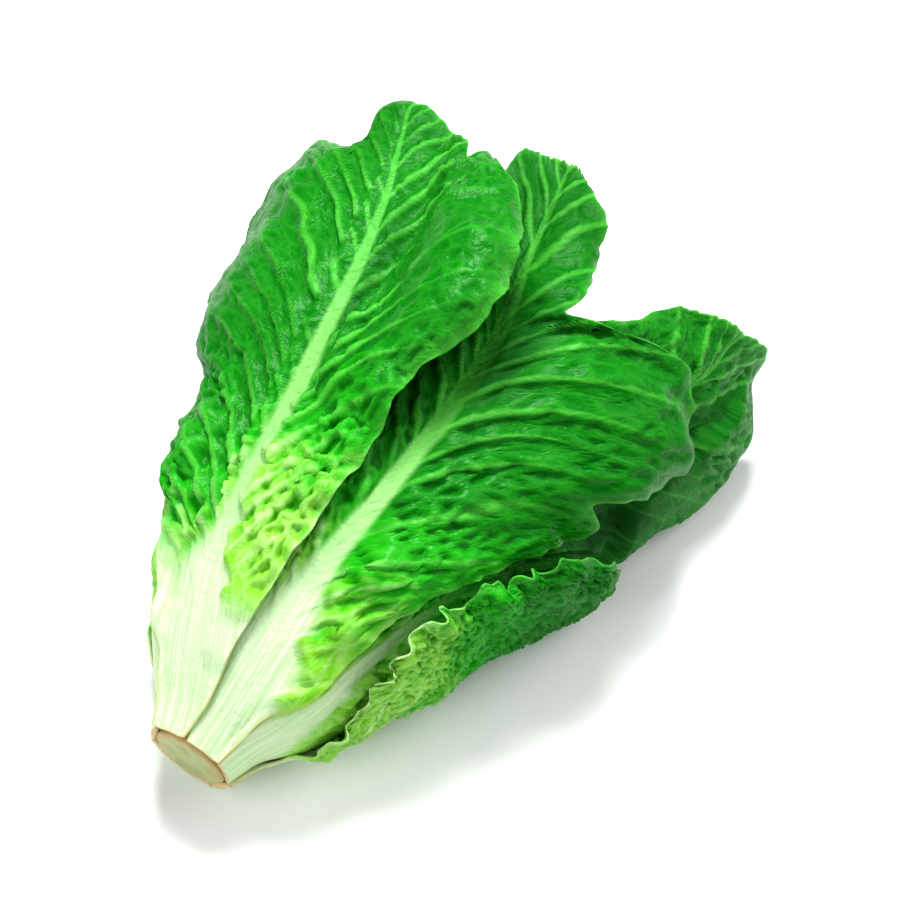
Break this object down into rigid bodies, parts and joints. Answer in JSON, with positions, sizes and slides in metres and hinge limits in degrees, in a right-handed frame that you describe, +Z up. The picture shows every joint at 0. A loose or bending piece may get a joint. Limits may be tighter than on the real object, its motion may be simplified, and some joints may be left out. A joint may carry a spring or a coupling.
{
  "type": "romaine lettuce head",
  "caption": "Whole head of romaine lettuce lying on its side, with a cut stem, overlapping ribbed leaves with wavy edges and a pale heart.",
  "frame": {"origin": "under the middle of the head's bounding box, on the surface the head lies on", "axes": "+X along the head from the cut stem to the leaf tips, +Y to the head's left side, +Z up"},
  "size_m": [0.2866, 0.2248, 0.1361],
  "materials": {
    "stem": "matt, slightly moist cut face",
    "outer_leaf": "waxy gloss, white midribs and yellow-green lower blades",
    "inner_leaf": "soft waxy gloss",
    "heart_leaf": "soft waxy gloss, pale yellow-green"
  },
  "bodies": {
    "root": {"stem": "stem", "heart_leaf_1": "heart_leaf", "heart_leaf_2": "heart_leaf", "heart_leaf_3": "heart_leaf", "heart_leaf_4": "heart_leaf", "heart_leaf_5": "heart_leaf", "inner_leaf_1": "inner_leaf", "inner_leaf_2": "inner_leaf", "inner_leaf_3": "inner_leaf", "inner_leaf_4": "inner_leaf", "inner_leaf_5": "inner_leaf", "leaf_right": "outer_leaf", "leaf_under_left": "outer_leaf", "leaf_middle": "outer_leaf", "leaf_left": "outer_leaf", "leaf_short_right": "outer_leaf", "leaf_lower_left": "outer_leaf", "leaf_bottom": "outer_leaf"}
  },
  "joints": []
}
